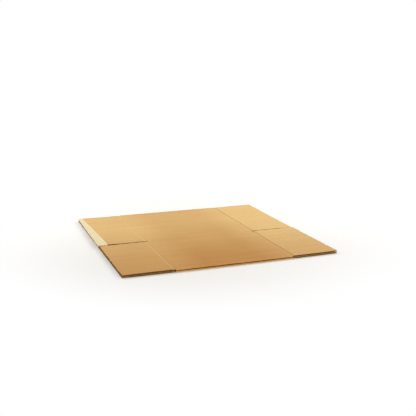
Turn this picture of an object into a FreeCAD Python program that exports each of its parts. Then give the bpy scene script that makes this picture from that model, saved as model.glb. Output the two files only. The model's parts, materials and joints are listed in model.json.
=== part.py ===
# A flattened slotted carton: one blank of single-wall corrugated board, folded flat and glued.
# It lies on its lower layer. The flutes run along X, the folded edges lie at the front (-Y) and the
# back (+Y), and the flap ends at the left (-X) and the right (+X). Z is up, lengths are millimetres.
# The origin is at the centre of the footprint, on the surface that the carton lies on.
import FreeCAD
import Part
import math
import os

from FreeCAD import Vector

# Blank, from crease to crease
LONG_PANEL = 409.0
SHORT_PANEL = 336.0
PANEL_HEIGHT = 414.0
FLAP_LENGTH = 166.0
SLOT_WIDTH = 9.0

# Corrugated board: two flat liners with a wave of fluting medium between them
BOARD = 4.0
LINER = 0.4
MEDIUM = 0.4
FLUTE_PITCH = 8.2
FLUTE_CREST = 1.6
EDGE_HOLLOW = 2.6

# Flap creases, pressed into both faces across the flutes
CREASE_WIDTH = 9.0
CREASE_DEPTH = 0.9
HINGE_GAP = 0.3

# Score between the two upper panels, pressed in along the flutes
SCORE_WIDTH = 6.0
SCORE_DEPTH = 0.8

# Folded edges, where the board is crushed and turns back on itself, with a valley along the score
FOLD_WALL = 3.4
FOLD_VALLEY_WIDTH = 3.2
FOLD_VALLEY_DEPTH = 1.8

# Glued joint: a crushed tab on the short panel, stuck to the inside of the long panel
TAB_WIDTH = 35.0
TAB_THICKNESS = 2.2
TAB_CLEARANCE = 0.3
TAB_INSET = 8.0
TAB_TAPER = 9.0
TAB_RAMP = 5.0
JOINT_GAP = 1.5

# Pale strip of sealing tape that was slit along the closing seam
TAPE_THICKNESS = 0.15
TAPE_WIDTH_AT_SLOT = 36.0
TAPE_WIDTH_AT_FOLD = 27.0

# Places across the carton
FOOTPRINT_WIDTH = LONG_PANEL + SHORT_PANEL
FRONT_FOLD = -FOOTPRINT_WIDTH / 2
BACK_FOLD = FOOTPRINT_WIDTH / 2
UPPER_SCORE = FRONT_FOLD + SHORT_PANEL
LOWER_JOINT = FRONT_FOLD + LONG_PANEL
FLAP_RECESS = SLOT_WIDTH / 2

# Places along the carton
CREASE = PANEL_HEIGHT / 2
CREASE_START = CREASE - CREASE_WIDTH / 2
CREASE_END = CREASE + CREASE_WIDTH / 2
FLAP_END = CREASE + FLAP_LENGTH

# Heights
LAYER_GAP = TAB_THICKNESS + TAB_CLEARANCE
LOWER_LAYER = 0.0
UPPER_LAYER = BOARD + LAYER_GAP
TOP = UPPER_LAYER + BOARD
FOLD_SHOULDER = (TOP - FOLD_VALLEY_WIDTH) / 2

LEFT_TO_RIGHT = Vector(1, 0, 0)
FRONT_TO_BACK = Vector(0, 1, 0)
UPWARDS = Vector(0, 0, 1)


def at_side(y, z, x=0.0):
    """A point of a section across the carton, in the plane at x."""
    return Vector(x, y, z)


def at_front(x, z, y=0.0):
    """A point of a section along the carton, in the plane at y."""
    return Vector(x, y, z)


def outline(start, steps, place):
    """A closed face: each step is an end point, or a point on the way and an end point of an arc."""
    edges = []
    here = start
    for step in steps + [(start,)]:
        end = step[-1]
        if len(step) == 2:
            edges.append(Part.Arc(place(*here), place(*step[0]), place(*end)).toShape())
        else:
            edges.append(Part.makeLine(place(*here), place(*end)))
        here = end
    return Part.Face(Part.Wire(edges))


def arc_depth(offset, width, depth):
    """How deep a groove with a circular section lies at an offset from its middle."""
    half = width / 2
    radius = (half**2 + depth**2) / (2 * depth)
    return math.sqrt(radius**2 - offset**2) - (radius - depth)


def corner(across, up, turn_across, turn_up, radius):
    """The point midway along a quarter arc whose square corner is at (across, up)."""
    inset = radius * (1 - math.sqrt(0.5))
    return (across + turn_across * inset, up + turn_up * inset)


def folded_band():
    """The four panels as one band, open at the glued joint, between the ends of the flap creases."""
    middle = TOP / 2
    half_score = SCORE_WIDTH / 2
    half_gap = LAYER_GAP / 2
    front_inside = FRONT_FOLD + FOLD_WALL
    back_inside = BACK_FOLD - FOLD_WALL
    joint_front = LOWER_JOINT - JOINT_GAP / 2
    joint_back = LOWER_JOINT + JOINT_GAP / 2
    steps = [
        ((FRONT_FOLD + FOLD_SHOULDER, 0),),
        (corner(FRONT_FOLD, 0, 1, 1, FOLD_SHOULDER), (FRONT_FOLD, FOLD_SHOULDER)),
        ((FRONT_FOLD + FOLD_VALLEY_DEPTH, middle), (FRONT_FOLD, TOP - FOLD_SHOULDER)),
        (corner(FRONT_FOLD, TOP, 1, -1, FOLD_SHOULDER), (FRONT_FOLD + FOLD_SHOULDER, TOP)),
        ((UPPER_SCORE - half_score, TOP),),
        ((UPPER_SCORE, TOP - SCORE_DEPTH), (UPPER_SCORE + half_score, TOP)),
        ((BACK_FOLD - FOLD_SHOULDER, TOP),),
        (corner(BACK_FOLD, TOP, -1, -1, FOLD_SHOULDER), (BACK_FOLD, TOP - FOLD_SHOULDER)),
        ((BACK_FOLD - FOLD_VALLEY_DEPTH, middle), (BACK_FOLD, FOLD_SHOULDER)),
        (corner(BACK_FOLD, 0, -1, 1, FOLD_SHOULDER), (BACK_FOLD - FOLD_SHOULDER, 0)),
        ((joint_back, 0),),
        ((joint_back, BOARD),),
        ((back_inside - half_gap, BOARD),),
        ((back_inside, BOARD + half_gap), (back_inside - half_gap, UPPER_LAYER)),
        ((UPPER_SCORE + half_score, UPPER_LAYER),),
        ((UPPER_SCORE, UPPER_LAYER + SCORE_DEPTH), (UPPER_SCORE - half_score, UPPER_LAYER)),
        ((front_inside + half_gap, UPPER_LAYER),),
        ((front_inside, BOARD + half_gap), (front_inside + half_gap, BOARD)),
        ((joint_front, BOARD),),
    ]
    section = outline((joint_front, 0), steps, lambda y, z: at_side(y, z, -CREASE_START))
    return section.extrude(LEFT_TO_RIGHT * (2 * CREASE_START))


def glue_tab():
    """The crushed tab between the layers. It ramps up from the short panel and narrows to its free edge."""
    tip = LOWER_JOINT - TAB_WIDTH
    root = LOWER_JOINT + JOINT_GAP / 2
    half_root = CREASE - TAB_INSET
    half_tip = half_root - TAB_TAPER
    steps = [
        ((tip, BOARD + TAB_THICKNESS),),
        ((root, BOARD + TAB_THICKNESS),),
        ((root + TAB_RAMP, BOARD),),
    ]
    section = outline((tip, BOARD), steps, lambda y, z: at_side(y, z, -half_root))
    tab = section.extrude(LEFT_TO_RIGHT * (2 * half_root))
    plan = Part.makePolygon([
        Vector(-half_tip, tip, BOARD),
        Vector(half_tip, tip, BOARD),
        Vector(half_root, root, BOARD),
        Vector(half_root, root + TAB_RAMP, BOARD),
        Vector(-half_root, root + TAB_RAMP, BOARD),
        Vector(-half_root, root, BOARD),
        Vector(-half_tip, tip, BOARD),
    ])
    return tab.common(Part.Face(plan).extrude(UPWARDS * TAB_THICKNESS))


def flute_widths():
    """The wide and the narrow side of a flute's hollow, so that the slanted medium keeps its thickness."""
    rise = BOARD - 2 * LINER - MEDIUM
    flank_run = FLUTE_PITCH / 2 - FLUTE_CREST
    flank_thickness = MEDIUM * math.hypot(flank_run, rise) / rise
    narrow = FLUTE_CREST
    wide = (FLUTE_PITCH - narrow * (1 + MEDIUM / rise) - 2 * flank_thickness) / (1 - MEDIUM / rise)
    return wide, narrow


def flute_hollows(y_start, y_end, layer):
    """The open flutes of one flap, from its crease to its end, and the half flutes laid open at its sides."""
    wide, narrow = flute_widths()
    floor = layer + LINER
    roof = layer + BOARD - LINER
    step = FLUTE_PITCH / 2
    wall = (wide - narrow) / 2 + MEDIUM
    margin = EDGE_HOLLOW + wall + wide / 2
    count = int((y_end - y_start - 2 * margin) / step) + 1
    first = (y_start + y_end - (count - 1) * step) / 2
    profiles = []
    for index in range(count):
        middle = first + index * step
        if index % 2 == 0:
            widths = (wide, narrow)
            heights = (floor, roof - MEDIUM)
        else:
            widths = (narrow, wide)
            heights = (floor + MEDIUM, roof)
        profiles.append([
            (middle - widths[0] / 2, heights[0]),
            (middle + widths[0] / 2, heights[0]),
            (middle + widths[1] / 2, heights[1]),
            (middle - widths[1] / 2, heights[1]),
        ])
    for side, inwards in ((y_start, 1), (y_end, -1)):
        profiles.append([
            (side - inwards, floor),
            (side + inwards * EDGE_HOLLOW, floor),
            (side + inwards * (EDGE_HOLLOW - (wide - narrow) / 2), roof),
            (side - inwards, roof),
        ])
    hollows = []
    for points in profiles:
        corners = [at_side(y, z, CREASE_END) for y, z in points]
        face = Part.Face(Part.makePolygon(corners + corners[:1]))
        hollows.append(face.extrude(LEFT_TO_RIGHT * (FLAP_LENGTH + 1)))
    return Part.makeCompound(hollows)


def fluted_flap(y_start, y_end, layer, x_start):
    """A right-hand flap of board, from x_start in its crease to its open end."""
    floor = layer
    roof = layer + BOARD
    started = abs(x_start - CREASE)
    at_start = arc_depth(started, CREASE_WIDTH, CREASE_DEPTH)
    if x_start < CREASE:
        on_the_way = (CREASE, CREASE_DEPTH)
    else:
        halfway = (started + CREASE_WIDTH / 2) / 2
        on_the_way = (CREASE + halfway, arc_depth(halfway, CREASE_WIDTH, CREASE_DEPTH))
    steps = [
        ((on_the_way[0], floor + on_the_way[1]), (CREASE_END, floor)),
        ((FLAP_END, floor),),
        ((FLAP_END, roof),),
        ((CREASE_END, roof),),
        ((on_the_way[0], roof - on_the_way[1]), (x_start, roof - at_start)),
    ]
    section = outline((x_start, floor + at_start), steps, lambda x, z: at_front(x, z, y_start))
    slab = section.extrude(FRONT_TO_BACK * (y_end - y_start))
    return slab.cut(flute_hollows(y_start, y_end, layer))


def crease_lip(y_start, y_end):
    """The upper panels' own half of a right-hand flap crease, up to the hinge line."""
    lip_end = CREASE - HINGE_GAP / 2
    halfway = (CREASE_START + lip_end) / 2
    halfway_depth = arc_depth(CREASE - halfway, CREASE_WIDTH, CREASE_DEPTH)
    end_depth = arc_depth(CREASE - lip_end, CREASE_WIDTH, CREASE_DEPTH)
    steps = [
        ((halfway, UPPER_LAYER + halfway_depth), (lip_end, UPPER_LAYER + end_depth)),
        ((lip_end, TOP - end_depth),),
        ((halfway, TOP - halfway_depth), (CREASE_START, TOP)),
    ]
    section = outline((CREASE_START, UPPER_LAYER), steps, lambda x, z: at_front(x, z, y_start))
    return section.extrude(FRONT_TO_BACK * (y_end - y_start))


def mirrored(shape):
    """The left-hand copy of a right-hand piece."""
    return shape.mirror(Vector(0, 0, 0), LEFT_TO_RIGHT)


def flap_places(middle):
    """Where the front and the back flap of a layer begin and end, each side of its slot."""
    front = (FRONT_FOLD + FLAP_RECESS, middle - SLOT_WIDTH / 2)
    back = (middle + SLOT_WIDTH / 2, BACK_FOLD - FLAP_RECESS)
    return front, back


def panels():
    """The folded and glued panels with the lower flaps, which are one piece of board."""
    pieces = [glue_tab()]
    for y_start, y_end in flap_places(LOWER_JOINT):
        flap = fluted_flap(y_start, y_end, LOWER_LAYER, CREASE_START)
        pieces += [flap, mirrored(flap)]
    for y_start, y_end in flap_places(UPPER_SCORE):
        lip = crease_lip(y_start, y_end)
        pieces += [lip, mirrored(lip)]
    return folded_band().fuse(pieces)


def upper_flaps():
    """The four flaps of the upper layer, each free to turn at its crease."""
    front, back = flap_places(UPPER_SCORE)
    flaps = {}
    for place, (y_start, y_end) in (("front", front), ("back", back)):
        flap = fluted_flap(y_start, y_end, UPPER_LAYER, CREASE + HINGE_GAP / 2)
        flaps["flap_" + place + "_right"] = flap
        flaps["flap_" + place + "_left"] = mirrored(flap)
    return flaps


def tape_strip():
    """Half of the sealing tape's width, left along the end of the back left flap. Its slit edge is flush."""
    y_start, y_end = flap_places(UPPER_SCORE)[1]
    corners = [
        Vector(-FLAP_END, y_start, TOP),
        Vector(-FLAP_END + TAPE_WIDTH_AT_SLOT, y_start, TOP),
        Vector(-FLAP_END + TAPE_WIDTH_AT_FOLD, y_end, TOP),
        Vector(-FLAP_END, y_end, TOP),
    ]
    return Part.Face(Part.makePolygon(corners + corners[:1])).extrude(UPWARDS * TAPE_THICKNESS)


def main():
    os.makedirs("parts", exist_ok=True)
    nodes = {"carton_panels": panels(), "tape_strip": tape_strip()}
    nodes.update(upper_flaps())
    for name, shape in nodes.items():
        if len(shape.Solids) != 1 or not shape.isValid():
            raise ValueError(f"{name} has {len(shape.Solids)} solids, valid: {shape.isValid()}")
        shape.Solids[0].exportStep(f"parts/{name}.step")
        box = shape.BoundBox
        print(name, f"{box.XLength:.1f} x {box.YLength:.1f} x {box.ZLength:.2f}",
              f"{shape.Volume / 1000:.1f} cm3", len(shape.Faces), "faces")


main()
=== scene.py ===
# The looks of the flattened carton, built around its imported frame.
# Each layer of corrugated board is a closed mesh with its liners, its wavy medium and its open flutes.
import bmesh
import bpy
import json
import math
import numpy as np
from mathutils import Matrix, Vector


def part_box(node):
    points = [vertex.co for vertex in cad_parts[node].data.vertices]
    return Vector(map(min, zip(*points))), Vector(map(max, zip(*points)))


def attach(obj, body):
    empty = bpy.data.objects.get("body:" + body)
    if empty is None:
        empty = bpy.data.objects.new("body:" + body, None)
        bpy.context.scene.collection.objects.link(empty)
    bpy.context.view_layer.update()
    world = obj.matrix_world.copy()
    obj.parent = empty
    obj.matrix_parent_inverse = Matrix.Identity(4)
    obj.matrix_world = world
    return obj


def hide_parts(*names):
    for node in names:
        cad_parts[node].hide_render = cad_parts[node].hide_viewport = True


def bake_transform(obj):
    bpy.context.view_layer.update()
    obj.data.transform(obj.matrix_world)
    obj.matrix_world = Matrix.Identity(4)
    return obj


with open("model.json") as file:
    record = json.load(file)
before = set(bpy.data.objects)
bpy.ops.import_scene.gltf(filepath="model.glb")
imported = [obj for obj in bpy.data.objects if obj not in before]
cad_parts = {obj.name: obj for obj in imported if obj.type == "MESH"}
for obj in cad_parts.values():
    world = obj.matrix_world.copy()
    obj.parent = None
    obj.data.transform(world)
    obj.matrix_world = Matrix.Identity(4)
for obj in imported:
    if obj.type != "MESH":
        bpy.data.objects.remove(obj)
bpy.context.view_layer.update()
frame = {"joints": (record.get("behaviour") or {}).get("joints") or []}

MM = 0.001

# Board, as in the frame's solids
LINER = 0.4 * MM
MEDIUM = 0.4 * MM
FLUTE_PITCH = 8.2 * MM
FLUTE_CREST = 1.6 * MM
CREASE_WIDTH = 9.0 * MM
CREASE_DEPTH = 0.75 * MM
SCORE_WIDTH = 6.0 * MM
SCORE_DEPTH = 0.8 * MM

# Narrow line that the creasing rule leaves along the middle of a crease
RULE_WIDTH = 1.2 * MM
RULE_DEPTH = 0.5 * MM

# Folded edges: round shoulders with an uneven valley between the layers
FOLD_SHOULDER = 3.9 * MM
FOLD_WALL = 3.4 * MM
FOLD_INSIDE = 0.35 * MM
FOLD_INSET = 0.2 * MM
VALLEY_DEPTH = 2.4 * MM
VALLEY_REACH = 1.4 * MM
VALLEY_RISE = 0.5 * MM
VALLEY_FROM = 0.3 * MM
VALLEY_WANDER = 0.22
VALLEY_FRAY = 0.10
SWELL = 0.28 * MM
SWELL_REACH = 4.0 * MM
SWELL_STRETCH = 6.0

# Glued joint
TAB_WIDTH = 35.0 * MM
TAB_THICKNESS = 2.2 * MM
TAB_INSET = 8.0 * MM
TAB_TAPER = 9.0 * MM
TAB_RIBS = 3.0
TAB_TIP_PRESS = 0.6 * MM
TAB_TIP_REACH = 3.0 * MM
JOINT_GAP = 1.5 * MM

# Tape: its width on the flap, how far it stands past the flap's end, and its lip over the slot
TAPE_ON_FLAP_AT_SLOT = 30.0 * MM
TAPE_ON_FLAP_AT_FOLD = 14.5 * MM
TAPE_EDGE_BOW = 1.6
TAPE_PAST_END_AT_SLOT = 5.5 * MM
TAPE_PAST_END_AT_FOLD = 1.2 * MM
TAPE_SLIT_WANDER = 0.25 * MM
TAPE_SAG = 0.9 * MM
TAPE_SAG_POWER = 1.5
TAPE_LIP = 3.2 * MM
TAPE_LIP_TURN = 0.55
TAPE_DROOP = 2.6 * MM
TAPE_DROOP_POWER = 1.6
TAPE_LIFT = 0.03 * MM
TAPE_WRINKLE = 0.12 * MM
TAPE_WRINKLE_FROM = 0.5

# How finely the meshes follow the board
FLANK_STEPS = 2
CREASE_STEPS = 12
FOLD_ARC_STEPS = 7
VALLEY_STEPS = 9
TAB_STATIONS = 41
TAPE_LIP_STEPS = 4
TAPE_COLUMNS = 12
FLAP_STEP = 7.5 * MM
PANEL_STEP = 9.5 * MM
HOLLOW_EVERY = 5
CLOSED_BEFORE_FLUTES = 1.5 * MM
EDGE_STATIONS = (6.0 * MM, 3.5 * MM, 1.8 * MM, 0.6 * MM)
COLUMN_MARGIN = 0.05 * MM
TOUCHING = 1e-9
SMOOTH_BELOW_DEGREES = 35.0

# Unevenness of used board
WASHBOARD = 0.10 * MM
GROOVE_WANDER = 0.12
SLOT_CUT_SPREAD = 1.5 * MM
SLOT_CUT_CRUSH = 0.34
FOLD_CUT_CRUSH = 0.16
FOLD_CRUSH_WITHIN = 20.0 * MM
SLOT_CRUSH_BEYOND = 60.0 * MM
CUT_CRUSH_REACH = 3.2 * MM
INNER_CRUSH = 1.3
OUTER_CRUSH = 0.75
OUTER_CRUSH_WANDER = 0.35
OUTER_CRUSH_LIMIT = 1.5
END_CRUSH = 0.08
END_CRUSH_REACH = 4.0 * MM
CUT_WANDER = 0.35 * MM
CUT_WANDER_REACH = 5.0 * MM
LINER_FLARE = 0.22 * MM
LINER_FLARE_REACH = 1.6 * MM
UPPER_WAVINESS = 0.30 * MM
LOWER_WAVINESS = 0.15 * MM
UPPER_LIFT = 0.25
RIPPLE_SHARE = 0.2
HELD_BY_FOLD = 60.0 * MM
REST = 0.05 * MM

# Steps through the seeded fields, so that flaps, liners, cuts and folds don't repeat one another
FLAP_OFFSET = 0.37
FLARE_OFFSET = 0.5
CUT_OFFSET = 1.3
END_OFFSET = 2.1
SWELL_OFFSET = 0.4
LOWER_SEED = 40
UPPER_SEED = 50

# How each flap lies
LOWER_FLAP_BEND = 0.4 * MM
UPPER_FLAPS = {
    "front_left": dict(bend=-0.5 * MM, curl=0.6 * MM, twist=0.3 * MM),
    "back_left": dict(bend=1.0 * MM, curl=0.9 * MM, twist=-0.9 * MM),
    "front_right": dict(bend=0.1 * MM, curl=0.5 * MM, twist=0.1 * MM),
    "back_right": dict(bend=-0.4 * MM, curl=0.2 * MM, twist=1.0 * MM),
}

# Places, all from the frame
PANELS_LOW, PANELS_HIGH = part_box("carton_panels")
FLAP_LOW, FLAP_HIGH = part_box("flap_front_right")
TAPE_LOW, TAPE_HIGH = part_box("tape_strip")
CREASE = abs(frame["joints"][0]["pos_m"][0])
CREASE_START = CREASE - CREASE_WIDTH / 2
CREASE_END = CREASE + CREASE_WIDTH / 2
FLAP_END = FLAP_HIGH.x
BOARD = FLAP_HIGH.z - FLAP_LOW.z
UPPER_LAYER = FLAP_LOW.z
LOWER_LAYER = PANELS_LOW.z
TOP = PANELS_HIGH.z
FRONT_FOLD = PANELS_LOW.y
BACK_FOLD = PANELS_HIGH.y
UPPER_SCORE = (FLAP_HIGH.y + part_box("flap_back_right")[0].y) / 2
LOWER_JOINT = -UPPER_SCORE
LAYER_GAP = UPPER_LAYER - BOARD
FLUTE_PHASE = FRONT_FOLD

# Surface kinds, which are also the material slots of a board mesh
FACE = 0
CUT = 1

# Colours as they look on a screen, 0 to 255
# The dark and pale ends of the liner's colour also carry its painted shade and painted light
KRAFT_DARK_AND_SHADED = (184, 127, 53)
KRAFT_PALE_AND_LIT = (226, 190, 127)
KRAFT_SPECK = (140, 100, 56)
# Painted highlight and painted shade along the crease grooves
CREASE_HIGHLIGHT = (238, 206, 150)
CREASE_SHADE = (128, 88, 42)
VALLEY_SHADE = (58, 36, 15)
# Cut board and medium: their own darker colour, deepened with painted shade of the hollows between the
# liners
CUT_DARK = (86, 62, 29)
CUT_PALE = (166, 127, 71)
TAPE_DARK = (224, 203, 152)
TAPE_PALE = (243, 230, 190)
TAPE_PATCH = (232, 212, 163)

# Painted light and shade: the liner gets lighter along these ramps, so that the front and the middle of the
# panels look shaded and the flaps and the back look lit. Each ramp: the axis, where it starts, where it is
# full, and by how much
CLOUD_SHARE = 0.25
PAINTED_LIGHT_RAMPS = (
    ("Y", FRONT_FOLD, BACK_FOLD * 0.6, 0.52),
    ("X", CREASE * 0.4, CREASE, 0.24),
    ("X", CREASE + 2 * MM, CREASE + 6 * MM, 0.23),
    ("X", -CREASE * 0.4, -CREASE, 0.22),
)

# Painted highlights and painted shade along the creases: the place along X, the reach, the strength and the
# colour
CREASE_LINES = (
    (CREASE - 1.2 * MM, 2.2 * MM, 0.35, CREASE_HIGHLIGHT),
    (-CREASE - 0.8 * MM, 2.4 * MM, 0.50, CREASE_HIGHLIGHT),
    (CREASE + 3.2 * MM, 3.0 * MM, 0.40, CREASE_SHADE),
)
VALLEY_SHADE_REACH = 2.6 * MM

# Patterns of the liner: how fine each is along X, Y and Z, and its share of the brightness
FORMATION_SCALE, FORMATION_SHARE = 170.0, 0.16
FIBRE_SCALES, FIBRE_SHARE = (1500.0, 210.0, 1500.0), 0.14
STREAK_SCALES, STREAK_SHARE = (2.5, 42.0, 2.5), 0.20
# The banding over the flute tips is painted shade of the washboard ridges
WASHBOARD_SHADE_PATCH_SCALES, WASHBOARD_SHADE_SHARE = (9.0, 30.0, 9.0), 0.09
SPECK_SCALES, SPECK_SHARE = (900.0, 260.0, 900.0), 0.22

# Floor, sky and lamps, each lamp with its place, its power and its size
WHITE = (1, 1, 1, 1)
FLOOR_SIZE = 30.0
FLOOR_COLOUR = (0.97, 0.985, 1.0, 1)
FLOOR_ROUGHNESS = 0.9
WHITE_FROM = 0.38
WHITE_BY = 0.78
SKY_LEVEL = 0.47
SKY_COLOUR = (1.0, 0.92, 0.80, 1)
LAMPS = (
    ("key_lamp", (-1.0, 0.95, 1.1), 11.0, 0.6),
    ("fill_lamp", (1.3, 0.45, 1.0), 10.5, 0.8),
    ("front_lamp", (0.3, -2.2, 0.6), 18.0, 0.9),
)

# Camera, fitted to the corners and creases in the 416 by 416 picture
CAMERA_PLACE = (-0.8207, -2.2980, 0.6831)
CAMERA_TURN = 20.60
CAMERA_DOWN = 13.28
CAMERA_ROLL = 0.09
CAMERA_LENS = 59.21
SENSOR = 36.0


class Unevenness:
    """A smooth field of a few seeded waves, about between -1 and 1, over any coordinates."""

    def __init__(self, seed, shortest, longest, count=7):
        rng = np.random.default_rng(seed)
        length = np.exp(rng.uniform(math.log(shortest), math.log(longest), count))
        turn = rng.uniform(0, 2 * math.pi, count)
        self.kx = 2 * math.pi * np.cos(turn) / length
        self.ky = 2 * math.pi * np.sin(turn) / length
        self.phase = rng.uniform(0, 2 * math.pi, count)
        self.size = math.sqrt(2 / count)

    def __call__(self, x, y):
        x, y = np.broadcast_arrays(x, y)
        total = np.zeros(x.shape)
        for kx, ky, phase in zip(self.kx, self.ky, self.phase):
            total += np.sin(kx * x + ky * y + phase)
        return total * self.size


def near(distance, reach):
    """1 at no distance, and about 0 beyond the reach."""
    return np.exp(-((distance / reach) ** 2))


def ease(value, low, high):
    """0 below low, 1 above high, and a smooth step between."""
    t = np.clip((value - low) / (high - low), 0, 1)
    return t * t * (3 - 2 * t)


def arc_depth(offset, width, depth):
    """How deep a groove with a circular section lies at an offset from its middle."""
    half = width / 2
    radius = (half**2 + depth**2) / (2 * depth)
    reached = np.minimum(np.abs(offset), half)
    return np.sqrt(radius**2 - reached**2) - (radius - depth)


class Shell:
    """Points and faces gathered stretch by stretch into one closed mesh."""

    def __init__(self):
        self.points = []
        self.count = 0
        self.faces = []
        self.kinds = []

    def add(self, x, y, z):
        """Adds an array of points and gives back an array of their numbers."""
        x, y, z = np.broadcast_arrays(x, y, z)
        numbers = self.count + np.arange(x.size).reshape(x.shape)
        self.points.append(np.stack([x.ravel(), y.ravel(), z.ravel()], 1))
        self.count += x.size
        return numbers

    def face(self, corners, kind):
        """One face. Corners that repeat their neighbour are left out."""
        kept = [c for i, c in enumerate(corners) if c != corners[i - 1]]
        if len(kept) >= 3:
            self.faces.append(kept)
            self.kinds.append(kind)

    def strip(self, low, high, kind, only=None):
        """The faces between two rows of points, or those of them where only is true."""
        for i in range(len(low) - 1):
            if only is None or only[i]:
                self.face([int(low[i]), int(low[i + 1]), int(high[i + 1]), int(high[i])], kind)

    def sheet(self, rows, kind, only=None):
        """The faces of a grid of points."""
        for low, high in zip(rows[:-1], rows[1:]):
            self.strip(low, high, kind, only)

    def zipped(self, many, at_many, few, at_few, kind):
        """The faces between a row of many points and a row of few, which start and end together."""
        j = 0
        for i in range(len(many) - 1):
            while j < len(few) - 1 and (at_few[j] + at_few[j + 1]) / 2 < at_many[i]:
                self.face([int(many[i]), int(few[j + 1]), int(few[j])], kind)
                j += 1
            self.face([int(many[i]), int(many[i + 1]), int(few[j])], kind)
        while j < len(few) - 1:
            self.face([int(many[-1]), int(few[j + 1]), int(few[j])], kind)
            j += 1

    def build(self, name, materials):
        """The Blender object, its faces turned outwards and its place at rest kept for the materials."""
        points = np.concatenate(self.points)
        used = np.unique(np.concatenate([np.array(f) for f in self.faces]))
        number = np.full(len(points), -1)
        number[used] = np.arange(len(used))
        mesh = bpy.data.meshes.new(name)
        mesh.from_pydata(points[used].tolist(), [], [number[f].tolist() for f in self.faces])
        mesh.polygons.foreach_set("material_index", self.kinds)
        work = bmesh.new()
        work.from_mesh(mesh)
        bmesh.ops.recalc_face_normals(work, faces=work.faces)
        open_edges = sum(not edge.is_manifold for edge in work.edges)
        work.to_mesh(mesh)
        work.free()
        print(f"{name}: {len(mesh.polygons)} faces, {open_edges} open edges")
        rest = mesh.attributes.new("rest", "FLOAT_VECTOR", "POINT")
        rest.data.foreach_set("vector", points[used].astype(np.float32).ravel())
        mesh.shade_smooth()
        mesh.set_sharp_from_angle(angle=math.radians(SMOOTH_BELOW_DEGREES))
        for material in materials:
            mesh.materials.append(material)
        piece = bpy.data.objects.new(name, mesh)
        bpy.context.scene.collection.objects.link(piece)
        return piece


# Section of the board

def flute_columns(y_low, y_high):
    """The places across the flutes where the section is cut: both edges, and the tips and flanks."""
    half = FLUTE_CREST / 2
    flank = FLUTE_PITCH / 2 - FLUTE_CREST
    offsets = [-half] + [half + flank * k / (FLANK_STEPS + 1) for k in range(FLANK_STEPS + 1)]
    first = math.floor((y_low - FLUTE_PHASE) / FLUTE_PITCH) - 1
    last = math.ceil((y_high - FLUTE_PHASE) / FLUTE_PITCH) + 1
    tips = FLUTE_PHASE + np.arange(2 * first, 2 * last) * FLUTE_PITCH / 2
    columns = (tips[:, None] + np.array(offsets)[None, :]).ravel()
    inside = columns[(columns > y_low + COLUMN_MARGIN) & (columns < y_high - COLUMN_MARGIN)]
    return np.concatenate([[y_low], inside, [y_high]])


def flute_rise(y):
    """How far the medium has risen from the lower liner to the upper one, from 0 to 1, and its slope."""
    half = FLUTE_CREST / 2
    flank = FLUTE_PITCH / 2 - FLUTE_CREST
    offset = np.abs((y - FLUTE_PHASE + FLUTE_PITCH / 2) % FLUTE_PITCH - FLUTE_PITCH / 2)
    t = np.clip((offset - half) / flank, 0, 1)
    height = BOARD - 2 * LINER - MEDIUM
    slope = math.pi / 2 * np.sin(math.pi * t) * height / flank
    return (1 - np.cos(math.pi * t)) / 2, slope


def section_heights(y):
    """The heights of the board's six surfaces in each column, from the lower face to the upper one."""
    rise, slope = flute_rise(y)
    middle = LINER + MEDIUM / 2 + rise * (BOARD - 2 * LINER - MEDIUM)
    half = MEDIUM / 2 * np.sqrt(1 + slope**2)
    floor = np.full(y.shape, LINER)
    roof = np.full(y.shape, BOARD - LINER)
    below = np.maximum(middle - half, floor)
    above = np.minimum(middle + half, roof)
    return np.stack([floor * 0, floor, below, above, roof, roof + LINER])


# Unevenness of the layers, each field with its seed, its shortest and its longest wave

upper_waves = Unevenness(11, 160 * MM, 520 * MM)
lower_waves = Unevenness(12, 160 * MM, 520 * MM)
ripples = Unevenness(13, 25 * MM, 70 * MM, 9)
groove_waves = Unevenness(14, 18 * MM, 90 * MM, 9)
cut_waves = Unevenness(15, 6 * MM, 45 * MM, 11)
flare_waves = Unevenness(16, 5 * MM, 22 * MM, 11)


def layer_warp(x, y, layer):
    """How far a point of a layer lies above its flat place. The folds hold the layers at their heights."""
    held = ease(np.minimum(y - FRONT_FOLD, BACK_FOLD - y), 0, HELD_BY_FOLD)
    if layer == LOWER_LAYER:
        return LOWER_WAVINESS * held * (1 + lower_waves(x, y))
    return UPPER_WAVINESS * (UPPER_LIFT + held * upper_waves(x, y) + RIPPLE_SHARE * ripples(x, y))


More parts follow.
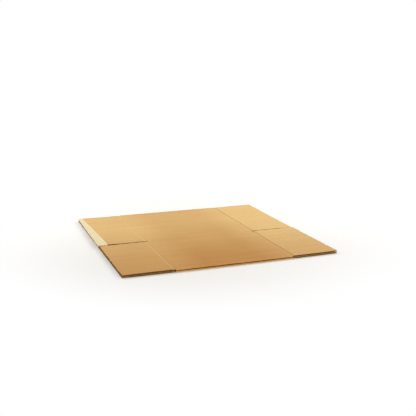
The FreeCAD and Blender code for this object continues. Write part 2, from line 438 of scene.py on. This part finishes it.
class Flap:
    """One flap of a layer: its edges, its side of the carton and its own bend."""

    def __init__(self, side, y_low, y_high, layer, seed, bend=0.0, curl=0.0, twist=0.0):
        self.side = side
        self.y_low = y_low
        self.y_high = y_high
        self.layer = layer
        self.offset = seed * FLAP_OFFSET
        self.bend = bend
        self.curl = curl
        self.twist = twist

    def to_edge(self, y):
        """How far a point lies from the nearer of the flap's long edges."""
        return np.minimum(y - self.y_low, self.y_high - y)

    def crush(self, along, y, height):
        """The share of its thickness that the board has lost at the crease, the cut edges and the end."""
        groove = arc_depth(along - CREASE, CREASE_WIDTH, CREASE_DEPTH)
        groove = groove + RULE_DEPTH * near(along - CREASE, RULE_WIDTH)
        groove = groove * (1 + GROOVE_WANDER * groove_waves(self.offset, y))
        inside = (height > LINER / 2) & (height < BOARD - LINER / 2)
        ragged = np.clip(cut_waves(self.side * along, self.offset), -OUTER_CRUSH_LIMIT, OUTER_CRUSH_LIMIT)
        pressed = np.where(inside, INNER_CRUSH, OUTER_CRUSH + OUTER_CRUSH_WANDER * ragged)
        to_fold = np.minimum(y - FRONT_FOLD, BACK_FOLD - y)
        at_slot = ease(to_fold, FOLD_CRUSH_WITHIN, SLOT_CRUSH_BEYOND)
        most = FOLD_CUT_CRUSH + (SLOT_CUT_CRUSH - FOLD_CUT_CRUSH) * at_slot
        crush = 2 * groove / BOARD + most * near(self.to_edge(y), CUT_CRUSH_REACH) * pressed
        at_end = near(FLAP_END - along, END_CRUSH_REACH)
        return crush + END_CRUSH * at_end * (1 + cut_waves(self.offset, y))

    def own_rise(self, along, y):
        """How far the flap's own bend, curl and twist lift it."""
        out = np.clip((along - CREASE_END) / (FLAP_END - CREASE_END), 0, 1)
        across = (y - self.y_low) / (self.y_high - self.y_low)
        rise = self.bend * out**2 + self.curl * out**2 * (across - 0.5) ** 2 * 4
        return rise + self.twist * out * (across - 0.5) * 2

    def place(self, along, y, height):
        """The point at a distance from the carton's middle, across the flutes and up the section."""
        along, y, height = np.broadcast_arrays(along, y, height)
        part = (height - BOARD / 2) / (BOARD / 2)
        upper = part > 0
        end = FLAP_END - along
        rise, _ = flute_rise(y)
        sunk_above = WASHBOARD * (1 - rise) * (height > BOARD - LINER / 2)
        sunk_below = WASHBOARD * rise * (height < LINER / 2)
        flare = LINER_FLARE * near(end, LINER_FLARE_REACH)
        flare = flare * flare_waves(self.offset + FLARE_OFFSET * upper, y) * part
        z = self.layer + BOARD / 2 + (height - BOARD / 2) * (1 - self.crush(along, y, height))
        z = z - sunk_above + sunk_below + flare
        z = z + layer_warp(self.side * along, y, self.layer) + self.own_rise(along, y)

        wander_y = CUT_WANDER * cut_waves(self.side * along, self.offset + CUT_OFFSET * upper)
        wander_y = wander_y * near(self.to_edge(y), CUT_WANDER_REACH)
        wander_y = wander_y * ease(along, CREASE_START, CREASE_END)
        at_end = near(end, CUT_WANDER_REACH)
        wander_x = CUT_WANDER * cut_waves(self.offset + END_OFFSET * upper, y) * at_end
        x = self.side * (along + wander_x - CUT_WANDER * at_end)
        return x, y + wander_y, np.maximum(z, REST)

    def top(self, along, y):
        """The point of the flap's upper face."""
        return self.place(along, y, BOARD)


def along_stations():
    """The distances from the carton's middle where a flap is cut, and the number of the first open one."""
    crease = np.linspace(CREASE_START, CREASE_END, CREASE_STEPS + 1)
    opening = CREASE_END + CLOSED_BEFORE_FLUTES
    last = FLAP_END - EDGE_STATIONS[0]
    steps = round((last - opening) / FLAP_STEP)
    middle = np.linspace(opening, last, steps + 1)
    edge = np.array([FLAP_END - d for d in EDGE_STATIONS[1:]] + [FLAP_END])
    return np.concatenate([crease, middle, edge]), len(crease)


def build_flap(name, flap, materials):
    """A flap of board as one closed mesh, its flutes open at its end and laid open at its slot cuts."""
    shell = Shell()
    y = flute_columns(flap.y_low, flap.y_high)
    heights = section_heights(y)
    along, opening = along_stations()

    def surface(stations, level):
        """One of the six surfaces of the board."""
        return shell.add(*flap.place(stations[:, None], y[None, :], heights[level][None, :]))

    under = surface(along, 0)
    over = surface(along, 5)
    shell.sheet(under, FACE)
    shell.sheet(over, FACE)
    shell.strip(under[0], over[0], CUT)

    picked = sorted(set(range(opening, len(along) - 1, HOLLOW_EVERY)) | {len(along) - 1})
    inner_along = along[picked]
    inner = [surface(inner_along, level) for level in (1, 2, 3, 4)]
    low_tip = heights[2] - heights[1] < TOUCHING
    high_tip = heights[4] - heights[3] < TOUCHING
    inner[1] = np.where(low_tip[None, :], inner[0], inner[1])
    inner[2] = np.where(high_tip[None, :], inner[3], inner[2])
    for floor, roof, tip in ((inner[0], inner[1], low_tip), (inner[2], inner[3], high_tip)):
        open_cell = ~(tip[:-1] & tip[1:])
        shell.sheet(floor, CUT, open_cell)
        shell.sheet(roof, CUT, open_cell)
        shell.strip(floor[0], roof[0], CUT, open_cell)

    levels = [under[-1]] + [row[-1] for row in inner] + [over[-1]]
    for low, high in ((0, 1), (2, 3), (4, 5)):
        shell.strip(levels[low], levels[high], CUT)

    for column in (0, -1):
        walls = [under[:, column]] + [row[:, column] for row in inner] + [over[:, column]]
        shell.strip(walls[0][:opening], walls[5][:opening], CUT)
        closing = [int(walls[0][opening - 1]), int(walls[0][opening])]
        closing += [int(walls[k][0]) for k in (1, 2, 3, 4)]
        closing += [int(walls[5][opening]), int(walls[5][opening - 1])]
        shell.face(closing, CUT)
        shell.zipped(walls[0][opening:], along[opening:], walls[1], inner_along, CUT)
        shell.strip(walls[2], walls[3], CUT)
        shell.zipped(walls[5][opening:], along[opening:], walls[4], inner_along, CUT)
    return shell.build(name, materials)


# Folded panels

def fold_outside():
    """The outer outline of a folded edge, as distances inwards from the edge and heights, from below."""
    arc = np.linspace(0, math.pi / 2, FOLD_ARC_STEPS + 1)
    inwards = FOLD_SHOULDER * (1 - np.sin(arc))
    height = FOLD_SHOULDER * (1 - np.cos(arc))
    between = np.linspace(FOLD_SHOULDER, TOP - FOLD_SHOULDER, VALLEY_STEPS + 2)[1:-1]
    inwards = np.concatenate([inwards, np.zeros(len(between)), inwards[::-1]])
    height = np.concatenate([height, between, TOP - height[::-1]])
    return inwards, height


def flat_stretch(x, y, layer, outwards):
    """A stretch of one layer of the panels: its outer and inner points."""
    rise, _ = flute_rise(y)
    score = arc_depth(y - UPPER_SCORE, SCORE_WIDTH, SCORE_DEPTH) if layer == UPPER_LAYER else 0 * y
    sunk = WASHBOARD * ((1 - rise) if outwards > 0 else rise)
    warp = layer_warp(x, y[None, :], layer)
    outer = layer + BOARD / 2 + outwards * (BOARD / 2 - sunk - score)
    inner = layer + BOARD / 2 - outwards * (BOARD / 2 - score)
    outer = np.maximum(outer[None, :] + warp, REST)
    return (x, y[None, :], outer), (x, y[None, :], inner[None, :] + warp)


def folded_stretch(x, edge, inwards_sign, rising):
    """A folded edge of the panels: its outer and inner points, from below or from above."""
    inwards, height = fold_outside()
    middle = TOP / 2
    valley = near(height - middle - VALLEY_RISE, VALLEY_REACH) * VALLEY_DEPTH
    uneven = 1 + VALLEY_WANDER * groove_waves(x, edge) + VALLEY_FRAY * flare_waves(x, edge)
    swell = SWELL * groove_waves(x + SWELL_OFFSET, height[None, :] * SWELL_STRETCH + edge)
    swell = swell * near(height[None, :] - middle, SWELL_REACH)
    depth = inwards[None, :] + valley[None, :] * uneven + swell
    in_valley = valley[None, :] > VALLEY_FROM
    depth = np.where(in_valley, np.minimum(depth, FOLD_WALL - FOLD_INSIDE), depth)
    outer_y = edge + inwards_sign * (depth + FOLD_INSET)

    share = (height / TOP)[None, :]
    warp = layer_warp(x, outer_y, UPPER_LAYER) * share
    warp = warp + layer_warp(x, outer_y, LOWER_LAYER) * (1 - share)
    outer_z = np.maximum(height[None, :] + warp, REST)

    turn = np.linspace(-math.pi / 2, math.pi / 2, len(height))
    inner_in = FOLD_WALL + LAYER_GAP / 2 * (1 - np.cos(turn))
    inner_y = edge + inwards_sign * inner_in[None, :] + 0 * x
    inner_z = (middle + LAYER_GAP / 2 * np.sin(turn))[None, :] + warp
    order = slice(None) if rising else slice(None, None, -1)
    return (x, outer_y[:, order], outer_z[:, order]), (x, inner_y[:, order], inner_z[:, order])


def build_panels(materials):
    """The four panels, folded and open at the glued joint, as one closed band between the flap creases."""
    ends = np.array([CREASE_START - d for d in EDGE_STATIONS] + [CREASE_START])
    steps = round(2 * ends[0] / PANEL_STEP)
    x = np.concatenate([-ends[:0:-1], np.linspace(-ends[0], ends[0], steps + 1), ends[1:]])[:, None]

    flat_low = FRONT_FOLD + FOLD_SHOULDER
    flat_high = BACK_FOLD - FOLD_SHOULDER
    upper_y = flute_columns(flat_low, flat_high)[1:-1]
    lower_front = flute_columns(flat_low, LOWER_JOINT - JOINT_GAP / 2)[1:]
    lower_back = flute_columns(LOWER_JOINT + JOINT_GAP / 2, flat_high)[:-1]
    stretches = [
        flat_stretch(x, lower_front[::-1], LOWER_LAYER, -1),
        folded_stretch(x, FRONT_FOLD, 1, True),
        flat_stretch(x, upper_y, UPPER_LAYER, 1),
        folded_stretch(x, BACK_FOLD, -1, False),
        flat_stretch(x, lower_back[::-1], LOWER_LAYER, -1),
    ]
    shell = Shell()
    outer = np.concatenate([shell.add(*outside) for outside, _ in stretches], 1)
    inner_rows = [0, len(x) // 2, len(x) - 1]
    inner = np.concatenate([shell.add(*inside) for _, inside in stretches], 1)[inner_rows]
    shell.sheet(outer, FACE)
    shell.sheet(inner, CUT)
    shell.strip(outer[0], inner[0], CUT)
    shell.strip(outer[-1], inner[-1], CUT)
    for column in (0, -1):
        shell.zipped(outer[:, column], x[:, 0], inner[:, column], x[inner_rows, 0], CUT)
    return shell.build("folded_panels", materials)


def build_glue_tab(materials):
    """The crushed tab between the layers, with flutes pressed flat and tapered ends."""
    shell = Shell()
    tip = LOWER_JOINT - TAB_WIDTH
    root = LOWER_JOINT
    y = flute_columns(tip, root)
    half = CREASE - TAB_INSET - TAB_TAPER * (root - y) / TAB_WIDTH
    x = np.linspace(-1, 1, TAB_STATIONS)[:, None] * half[None, :]
    rise, _ = flute_rise(y)
    base = BOARD + layer_warp(x, y[None, :], LOWER_LAYER)
    pressed = near(y - tip, TAB_TIP_REACH) * TAB_TIP_PRESS
    over = base + (TAB_THICKNESS - TAB_RIBS * WASHBOARD * (1 - rise) - pressed)[None, :]
    low = shell.add(x, y[None, :], base)
    high = shell.add(x, y[None, :], over)
    shell.sheet(low, FACE)
    shell.sheet(high, FACE)
    for column in (0, -1):
        shell.strip(low[:, column], high[:, column], CUT)
    shell.strip(low[0], high[0], CUT)
    shell.strip(low[-1], high[-1], CUT)
    return shell.build("glue_tab", materials)


def build_tape(flap, materials):
    """The slit tape on the back left flap. It stands a little past the flap's end and over the slot cut."""
    shell = Shell()
    y_low, y_high = flap.y_low, TAPE_HIGH.y
    wrinkles = Unevenness(31, 7 * MM, 40 * MM, 11)
    slit = Unevenness(32, 12 * MM, 90 * MM, 9)
    lip = np.linspace(-TAPE_LIP, 0, TAPE_LIP_STEPS + 1)[:-1]
    v = np.concatenate([y_low + lip, flute_columns(y_low, y_high)])
    u = np.linspace(0, 1, TAPE_COLUMNS)
    share = np.clip((v - y_low) / (y_high - y_low), 0, 1)
    narrowing = TAPE_ON_FLAP_AT_SLOT - TAPE_ON_FLAP_AT_FOLD
    on_flap = TAPE_ON_FLAP_AT_SLOT - narrowing * share**TAPE_EDGE_BOW
    past_end = TAPE_PAST_END_AT_SLOT + (TAPE_PAST_END_AT_FOLD - TAPE_PAST_END_AT_SLOT) * share
    start = FLAP_END + past_end + TAPE_SLIT_WANDER * slit(0.0, v)
    along = start[None, :] - u[:, None] * (on_flap + past_end)[None, :]

    _, y, z = flap.top(np.minimum(along, FLAP_END), np.clip(v, y_low, y_high)[None, :])
    past_slot = np.clip(y_low - v, 0, None)[None, :]
    beyond_end = np.clip(along - FLAP_END, 0, None)
    y = y - past_slot * np.sqrt(np.clip(1 - (past_slot / TAPE_LIP) ** 2 * TAPE_LIP_TURN, 0, 1))
    z = z - TAPE_DROOP * (past_slot / TAPE_LIP) ** TAPE_DROOP_POWER
    z = z - TAPE_SAG * (beyond_end / TAPE_PAST_END_AT_SLOT) ** TAPE_SAG_POWER
    x = flap.side * along
    wrinkled = np.clip(wrinkles(along, v[None, :]) - TAPE_WRINKLE_FROM, 0, None)
    lift = TAPE_LIFT + TAPE_WRINKLE * wrinkled
    low = shell.add(x, y, z + lift)
    high = shell.add(x, y, z + lift + (TAPE_HIGH.z - TAPE_LOW.z))
    shell.sheet(low, FACE)
    shell.sheet(high, FACE)
    for side in (0, -1):
        shell.strip(low[:, side], high[:, side], FACE)
        shell.strip(low[side], high[side], FACE)
    return shell.build("slit_tape", materials)


# Materials

def new_material(name):
    """A new material, its node tree and its surface shader."""
    material = bpy.data.materials.new(name)
    material.use_nodes = True
    tree = material.node_tree
    return material, tree, tree.nodes["Principled BSDF"]


def node(tree, kind, settings=None, **inputs):
    """A node with its settings and inputs, each a value or another node's output."""
    made = tree.nodes.new(kind)
    for name, value in (settings or {}).items():
        setattr(made, name, value)
    for name, value in inputs.items():
        key = int(name[1:]) if name[0] == "_" else name.replace("_", " ")
        if isinstance(value, bpy.types.NodeSocket):
            tree.links.new(value, made.inputs[key])
        else:
            made.inputs[key].default_value = value
    return made


def math_node(tree, operation, first, second=0.0, third=0.0):
    """The result of one operation on values or other nodes' outputs."""
    return node(tree, "ShaderNodeMath", {"operation": operation}, _0=first, _1=second, _2=third).outputs[0]


def stretched(tree, place, scales):
    """The place at rest, multiplied along each axis."""
    made = node(tree, "ShaderNodeVectorMath", {"operation": "MULTIPLY"}, _0=place, _1=scales)
    return made.outputs[0]


def noise(tree, place, scale=1.0, detail=2.0, roughness=0.5):
    """Smooth noise between 0 and 1."""
    made = node(tree, "ShaderNodeTexNoise", Vector=place, Scale=scale, Detail=detail, Roughness=roughness)
    return made.outputs["Fac"]


def ramp(tree, value, low, high, at_low=0.0, at_high=1.0, smooth=False):
    """One value below low, another above high, and a straight or smooth step between."""
    settings = {"clamp": True}
    if smooth:
        settings["interpolation_type"] = "SMOOTHSTEP"
    made = node(tree, "ShaderNodeMapRange", settings,
                Value=value, From_Min=low, From_Max=high, To_Min=at_low, To_Max=at_high)
    return made.outputs[0]


def mixed(tree, factor, first, second, blend_type="MIX"):
    """A blend of two colours, each a value or another node's output."""
    made = tree.nodes.new("ShaderNodeMix")
    made.data_type = "RGBA"
    made.blend_type = blend_type
    for socket, value in ((made.inputs[0], factor), (made.inputs[6], first), (made.inputs[7], second)):
        if isinstance(value, bpy.types.NodeSocket):
            tree.links.new(value, socket)
        else:
            socket.default_value = value
    return made.outputs[2]


def srgb(red, green, blue):
    """A colour given as it looks on a screen, 0 to 255, in linear light."""
    parts = []
    for value in (red, green, blue):
        share = value / 255
        parts.append(share / 12.92 if share <= 0.04045 else ((share + 0.055) / 1.055) ** 2.4)
    return (*parts, 1.0)


def line_mask(tree, coordinate, line, reach, strength):
    """A soft line: its strength where the coordinate is at the line, and nothing beyond its reach."""
    offset = math_node(tree, "ABSOLUTE", math_node(tree, "SUBTRACT", coordinate, line))
    return ramp(tree, offset, 0.0, reach, strength, 0.0, smooth=True)


def varied(tree, level, pattern, share):
    """A brightness made higher where a pattern is above its middle, and lower where it is below."""
    return math_node(tree, "MULTIPLY_ADD", pattern, share, math_node(tree, "SUBTRACT", level, share / 2))


def place_at_rest(tree):
    """Where a point lies at rest, so that a pattern moves with its piece."""
    return node(tree, "ShaderNodeAttribute", {"attribute_name": "rest"}).outputs["Vector"]


def finish_surface(tree, shader, colour, relief, roughness, specular, strength, distance):
    """The colour, gloss and fine relief of a surface."""
    tree.links.new(colour, shader.inputs["Base Color"])
    shader.inputs["Roughness"].default_value = roughness
    shader.inputs["Specular IOR Level"].default_value = specular
    bump = node(tree, "ShaderNodeBump", Strength=strength, Distance=distance, Height=relief)
    tree.links.new(bump.outputs[0], shader.inputs["Normal"])


def kraft_face():
    """The outer liner: kraft paper with cloudy formation, fibres, streaks and specks, and with painted
    light and shade:
    lighter on the flaps and towards the back, darker at the front and middle of the panels, faint banding
    of painted shade over the flute tips, painted highlights and shade along the creases, and painted shade
    in the folds."""
    material, tree, shader = new_material("kraft_face")
    rest = place_at_rest(tree)
    parts = node(tree, "ShaderNodeSeparateXYZ", _0=rest)

    tone_and_painted_light = math_node(tree, "MULTIPLY", noise(tree, rest, 5.0, 3.0), CLOUD_SHARE)
    # Painted light and shade: lighter towards the back, towards the creases and on the flaps, darker at the
    # front and middle of the panels
    for axis, dark_at, pale_at, share in PAINTED_LIGHT_RAMPS:
        painted_light = ramp(tree, parts.outputs[axis], dark_at, pale_at, 0.0, share, smooth=True)
        tone_and_painted_light = math_node(tree, "ADD", tone_and_painted_light, painted_light)
    tint_and_painted_light = mixed(tree, tone_and_painted_light, srgb(*KRAFT_DARK_AND_SHADED), srgb(*KRAFT_PALE_AND_LIT))

    formation = noise(tree, rest, FORMATION_SCALE, 4.0, 0.6)
    fibres = noise(tree, stretched(tree, rest, FIBRE_SCALES), detail=3.0, roughness=0.6)
    streaks = noise(tree, stretched(tree, rest, STREAK_SCALES), detail=3.0, roughness=0.6)
    # Painted shade of the washboard ridges: faint banding over the flute tips, in patches
    per_metre = 2 * math.pi / FLUTE_PITCH
    turns = math_node(tree, "MULTIPLY_ADD", parts.outputs["Y"], per_metre, -FLUTE_PHASE * per_metre)
    patchy = noise(tree, stretched(tree, rest, WASHBOARD_SHADE_PATCH_SCALES))
    washboard_shade = math_node(tree, "MULTIPLY", math_node(tree, "SINE", turns), patchy)
    level = math_node(tree, "MULTIPLY_ADD", formation, FORMATION_SHARE, 1 - FORMATION_SHARE / 2)
    level = varied(tree, level, fibres, FIBRE_SHARE)
    level = math_node(tree, "MULTIPLY_ADD", washboard_shade, WASHBOARD_SHADE_SHARE, level)
    level = varied(tree, level, streaks, STREAK_SHARE)
    grey = node(tree, "ShaderNodeCombineXYZ", _0=level, _1=level, _2=level).outputs[0]
    colour = mixed(tree, 1.0, tint_and_painted_light, grey, "MULTIPLY")

    shives = noise(tree, stretched(tree, rest, SPECK_SCALES), detail=0.0)
    speck = math_node(tree, "MULTIPLY", ramp(tree, shives, 0.70, 0.78), SPECK_SHARE)
    colour = mixed(tree, speck, colour, srgb(*KRAFT_SPECK))
    # Painted highlights and painted shade along the creases
    for line, reach, strength, shade in CREASE_LINES:
        painted_crease_line = line_mask(tree, parts.outputs["X"], line, reach, strength)
        colour = mixed(tree, painted_crease_line, colour, srgb(*shade))
    shadow = line_mask(tree, parts.outputs["Z"], TOP / 2 + VALLEY_RISE, VALLEY_SHADE_REACH, 1.0)
    from_middle = math_node(tree, "ABSOLUTE", parts.outputs["Y"])
    at_fold = math_node(tree, "GREATER_THAN", from_middle, BACK_FOLD - FOLD_SHOULDER)
    colour = mixed(tree, math_node(tree, "MULTIPLY", shadow, at_fold), colour, srgb(*VALLEY_SHADE))

    relief = math_node(tree, "ADD", fibres, math_node(tree, "MULTIPLY", formation, 0.8))
    finish_surface(tree, shader, colour, relief,
                   roughness=0.78, specular=0.35, strength=0.35, distance=0.12 * MM)
    return material


def kraft_cut():
    """Cut board and the medium inside the flutes: rougher and less even than the outer liner, and darker,
    partly by their own colour and partly by painted shade of the hollows between the liners.
    """
    material, tree, shader = new_material("kraft_cut")
    rest = place_at_rest(tree)
    patches = noise(tree, rest, 60.0, 4.0, 0.65)
    fibres = noise(tree, rest, 900.0, 3.0, 0.6)
    mix = math_node(tree, "MULTIPLY_ADD", fibres, 0.5, math_node(tree, "MULTIPLY", patches, 0.5))
    colour = mixed(tree, mix, srgb(*CUT_DARK), srgb(*CUT_PALE))
    finish_surface(tree, shader, colour, fibres,
                   roughness=0.92, specular=0.2, strength=0.5, distance=0.2 * MM)
    return material


def pale_tape():
    """Pale film with a faint mottle where the adhesive has gripped unevenly."""
    material, tree, shader = new_material("pale_tape")
    rest = place_at_rest(tree)
    mottle = noise(tree, rest, 240.0, 4.0, 0.65)
    patches = noise(tree, rest, 38.0, 3.0)
    colour = mixed(tree, ramp(tree, mottle, 0.35, 0.68), srgb(*TAPE_DARK), srgb(*TAPE_PALE))
    colour = mixed(tree, math_node(tree, "MULTIPLY", patches, 0.4), colour, srgb(*TAPE_PATCH))
    finish_surface(tree, shader, colour, mottle,
                   roughness=0.42, specular=0.45, strength=0.3, distance=0.1 * MM)
    return material


# The pieces

def flap_edges(split):
    """Where the front and the back flap of a layer begin and end."""
    recess = FLAP_LOW.y - FRONT_FOLD
    half_slot = UPPER_SCORE - FLAP_HIGH.y - SLOT_CUT_SPREAD
    return {
        "front": (FRONT_FOLD + recess, split - half_slot),
        "back": (split + half_slot, BACK_FOLD - recess),
    }


def make_carton():
    """The carton: its panels and glue tab, its lower flaps, its upper flaps and the tape."""
    board = [kraft_face(), kraft_cut()]
    tape_material = [pale_tape()]
    for piece in (build_panels(board), build_glue_tab(board)):
        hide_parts("carton_panels")
        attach(piece, "panels")

    for number, (place, shape) in enumerate(UPPER_FLAPS.items()):
        row, hand = place.split("_")
        side = -1 if hand == "left" else 1
        edges = flap_edges(LOWER_JOINT)[row]
        low = Flap(side, *edges, LOWER_LAYER, LOWER_SEED + number, bend=LOWER_FLAP_BEND)
        piece = build_flap("lower_flap_" + place, low, board)
        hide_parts("carton_panels")
        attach(piece, "panels")

        edges = flap_edges(UPPER_SCORE)[row]
        high = Flap(side, *edges, UPPER_LAYER, UPPER_SEED + number, **shape)
        piece = build_flap("upper_flap_" + place, high, board)
        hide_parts("flap_" + place)
        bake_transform(piece)
        if place == "back_left":
            tape = build_tape(high, tape_material)
            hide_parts("tape_strip")
            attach(tape, "back_left_flap")


# The stage

def seen_or_mirrored(tree):
    """1 for rays from the camera and for glossy reflections, and 0 for the light on the carton."""
    rays = node(tree, "ShaderNodeLightPath")
    return math_node(tree, "MAXIMUM", rays.outputs["Is Camera Ray"], rays.outputs["Is Glossy Ray"])


def make_stage():
    """A pale floor that turns plain white away from the carton, under an even white sky."""
    material, tree, shader = new_material("floor")
    shader.inputs["Base Color"].default_value = FLOOR_COLOUR
    shader.inputs["Roughness"].default_value = FLOOR_ROUGHNESS
    place = node(tree, "ShaderNodeNewGeometry").outputs["Position"]
    reach = node(tree, "ShaderNodeVectorMath", {"operation": "LENGTH"}, _0=place).outputs["Value"]
    away = ramp(tree, reach, WHITE_FROM, WHITE_BY, smooth=True)
    glow = node(tree, "ShaderNodeEmission", Color=WHITE, Strength=1.0)
    mix = node(tree, "ShaderNodeMixShader", _0=math_node(tree, "MULTIPLY", away, seen_or_mirrored(tree)))
    tree.links.new(shader.outputs[0], mix.inputs[1])
    tree.links.new(glow.outputs[0], mix.inputs[2])
    tree.links.new(mix.outputs[0], tree.nodes["Material Output"].inputs["Surface"])
    bpy.ops.mesh.primitive_plane_add(size=FLOOR_SIZE, location=(0, 0, 0))
    floor = bpy.context.object
    floor.name = "floor"
    floor.data.materials.append(material)


def make_light():
    """A dim even sky that looks white, with soft lamps behind on the left and right and low in front."""
    world = bpy.data.worlds.new("studio")
    world.use_nodes = True
    bpy.context.scene.world = world
    tree = world.node_tree
    sky = tree.nodes["Background"]
    seen = seen_or_mirrored(tree)
    tree.links.new(mixed(tree, seen, SKY_COLOUR, WHITE), sky.inputs["Color"])
    tree.links.new(math_node(tree, "MULTIPLY_ADD", seen, 1 - SKY_LEVEL, SKY_LEVEL), sky.inputs["Strength"])
    for name, place, power, size in LAMPS:
        light = bpy.data.lights.new(name, "AREA")
        light.energy = power
        light.size = size
        lamp = bpy.data.objects.new(name, light)
        lamp.location = place
        lamp.rotation_mode = "QUATERNION"
        lamp.rotation_quaternion = (-Vector(place)).to_track_quat("-Z", "Y")
        bpy.context.scene.collection.objects.link(lamp)


def make_camera():
    """The camera at the photograph's viewing angle."""
    data = bpy.data.cameras.new("camera")
    data.lens = CAMERA_LENS
    data.sensor_width = SENSOR
    camera = bpy.data.objects.new("camera", data)
    turn = Matrix.Rotation(math.radians(-CAMERA_TURN), 4, "Z")
    tilt = Matrix.Rotation(math.radians(90 - CAMERA_DOWN), 4, "X")
    roll = Matrix.Rotation(math.radians(CAMERA_ROLL), 4, "Z")
    camera.matrix_world = Matrix.Translation(CAMERA_PLACE) @ turn @ tilt @ roll
    bpy.context.scene.collection.objects.link(camera)
    bpy.context.scene.camera = camera


make_camera()
make_carton()
make_stage()
make_light()
bpy.context.scene.view_settings.view_transform = "Standard"
